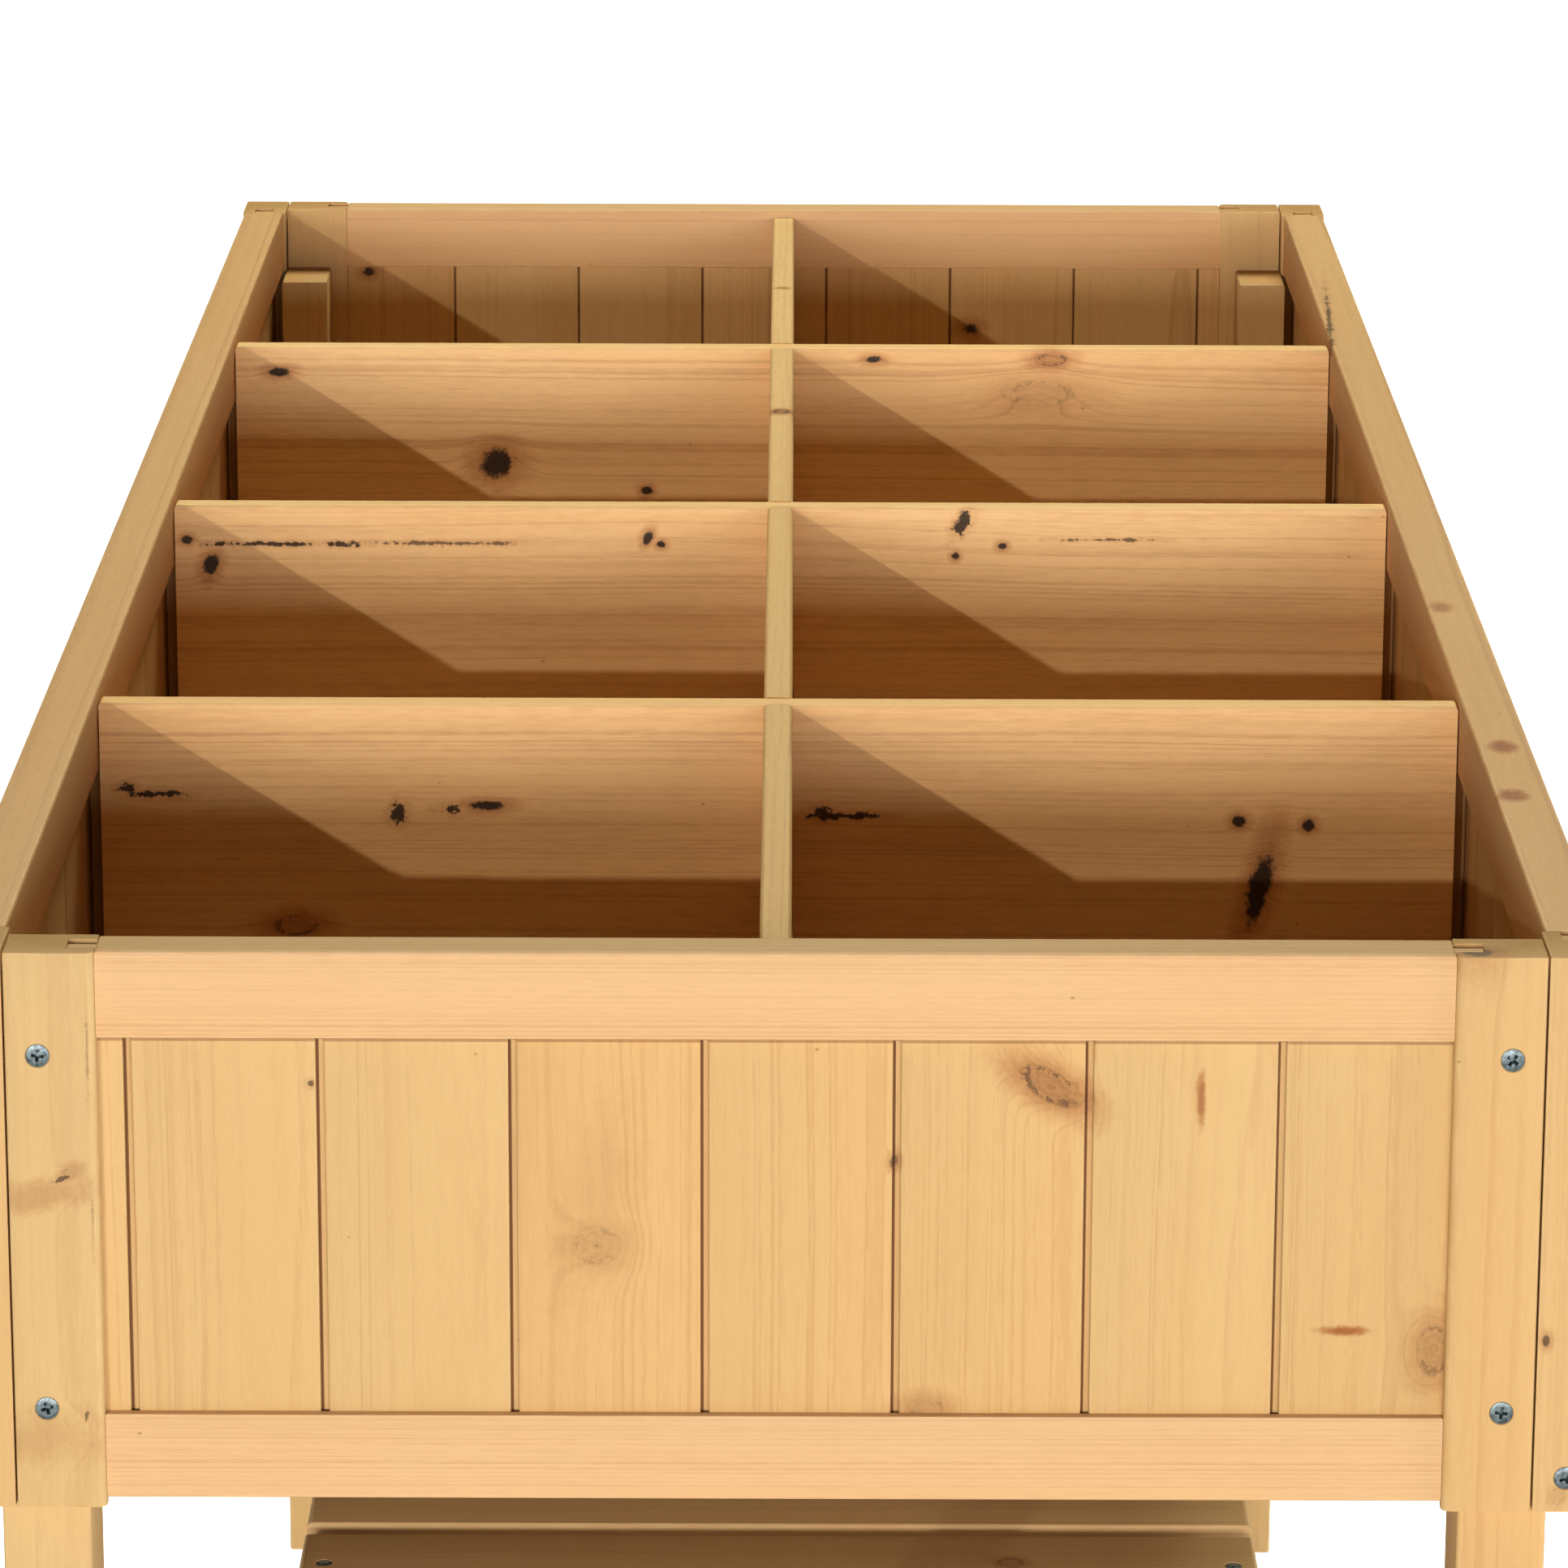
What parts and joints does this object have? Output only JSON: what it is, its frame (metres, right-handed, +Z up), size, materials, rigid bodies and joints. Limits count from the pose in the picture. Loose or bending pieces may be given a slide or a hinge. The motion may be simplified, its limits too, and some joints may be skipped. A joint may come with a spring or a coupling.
{
  "type": "raised planter on legs",
  "caption": "Raised wooden planter on legs: framed and boarded box split into pockets by lift-out dividers, with a slatted shelf below.",
  "frame": {"origin": "middle of the floor area under the feet, at floor level", "axes": "+Z up, +Y along the planter towards its back end, +X across it towards its right side"},
  "size_m": [0.46, 1.1, 0.6],
  "materials": {
    "frame_wood": "planed softwood, unpainted, matt",
    "panel_board": "planed tongue-and-groove softwood, unpainted, matt",
    "divider_board": "planed knotty fir, unpainted, matt",
    "shelf_slat": "planed softwood, unpainted, matt",
    "inner_wood": "sawn softwood, unpainted, matt",
    "zinc_screw": "bright zinc plate"
  },
  "bodies": {
    "planter": {"back_boards": "panel_board", "back_bottom_rail": "frame_wood", "back_stile_left": "frame_wood", "back_stile_right": "frame_wood", "back_top_rail": "frame_wood", "batten_screws": "zinc_screw", "floor_boards": "inner_wood", "floor_screws": "zinc_screw", "frame_screws": "zinc_screw", "front_boards": "panel_board", "front_bottom_rail": "frame_wood", "front_stile_left": "frame_wood", "front_stile_right": "frame_wood", "front_top_rail": "frame_wood", "ledger_screws": "zinc_screw", "left_batten_back": "inner_wood", "left_batten_front": "inner_wood", "left_batten_middle": "inner_wood", "left_boards": "panel_board", "left_bottom_rail": "frame_wood", "left_floor_ledger": "inner_wood", "left_shelf_rail": "shelf_slat", "left_stile_back": "frame_wood", "left_stile_front": "frame_wood", "left_top_rail": "frame_wood", "leg_back_left": "frame_wood", "leg_back_right": "frame_wood", "leg_front_left": "frame_wood", "leg_front_right": "frame_wood", "panel_screws": "zinc_screw", "right_batten_back": "inner_wood", "right_batten_front": "inner_wood", "right_batten_middle": "inner_wood", "right_boards": "panel_board", "right_bottom_rail": "frame_wood", "right_floor_ledger": "inner_wood", "right_shelf_rail": "shelf_slat", "right_stile_back": "frame_wood", "right_stile_front": "frame_wood", "right_top_rail": "frame_wood", "shelf_rail_screws": "zinc_screw", "shelf_screws": "zinc_screw", "shelf_slat_01": "shelf_slat", "shelf_slat_02": "shelf_slat", "shelf_slat_03": "shelf_slat", "shelf_slat_04": "shelf_slat", "shelf_slat_05": "shelf_slat", "shelf_slat_06": "shelf_slat", "shelf_slat_07": "shelf_slat", "shelf_slat_08": "shelf_slat", "shelf_slat_09": "shelf_slat", "shelf_slat_10": "shelf_slat", "shelf_slat_11": "shelf_slat", "shelf_slat_12": "shelf_slat", "shelf_slat_13": "shelf_slat"},
    "centre_divider": {"centre_divider": "divider_board"},
    "cross_divider_front": {"cross_divider_front": "divider_board"},
    "cross_divider_middle": {"cross_divider_middle": "divider_board"},
    "cross_divider_back": {"cross_divider_back": "divider_board"}
  },
  "joints": [
    {"name": "centre_divider_lift", "type": "slide", "parent": "planter", "child": "centre_divider", "axis": [0, 0, 1], "range_m": [0, 0.14]},
    {"name": "cross_divider_front_lift", "type": "slide", "parent": "centre_divider", "child": "cross_divider_front", "axis": [0, 0, 1], "range_m": [0, 0.14]},
    {"name": "cross_divider_middle_lift", "type": "slide", "parent": "centre_divider", "child": "cross_divider_middle", "axis": [0, 0, 1], "range_m": [0, 0.14]},
    {"name": "cross_divider_back_lift", "type": "slide", "parent": "centre_divider", "child": "cross_divider_back", "axis": [0, 0, 1], "range_m": [0, 0.14]}
  ]
}
